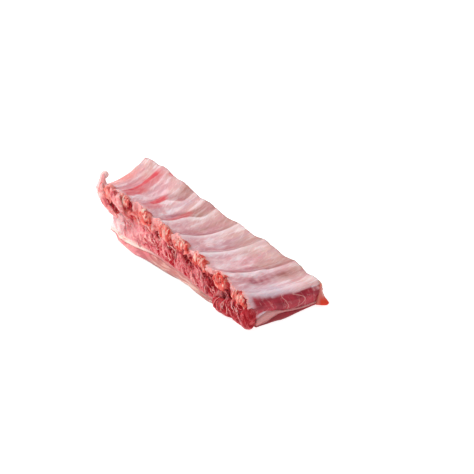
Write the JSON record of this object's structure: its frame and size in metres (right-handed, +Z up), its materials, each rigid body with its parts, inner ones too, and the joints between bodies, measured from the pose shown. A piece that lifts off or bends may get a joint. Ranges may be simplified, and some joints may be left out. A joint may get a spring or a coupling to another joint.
{
  "type": "raw rack of ribs",
  "caption": "Raw rack of pork back ribs lying bone side up, with sawn bone heads along one edge and layered meat and fat at the cut end.",
  "frame": {"origin": "middle of the base, on the surface that the rack lies on", "axes": "+X along the rack towards its thin end, +Y along the ribs from the chine edge to the sawn edge, +Z up out of the bone side"},
  "size_m": [0.27, 0.0938, 0.063],
  "materials": {
    "rib_meat": "moist raw meat under a thin pale membrane",
    "bone": "sawn bone with red marrow",
    "fat": "satin white fat",
    "outer_meat": "moist pink meat and fat"
  },
  "bodies": {
    "root": {"rib_bone_1": "bone", "rib_bone_2": "bone", "rib_bone_3": "bone", "rib_bone_4": "bone", "rib_bone_5": "bone", "rib_bone_6": "bone", "rib_bone_7": "bone", "rib_bone_8": "bone", "rib_meat": "rib_meat", "fat_seam": "fat", "outer_meat": "outer_meat"}
  },
  "joints": []
}
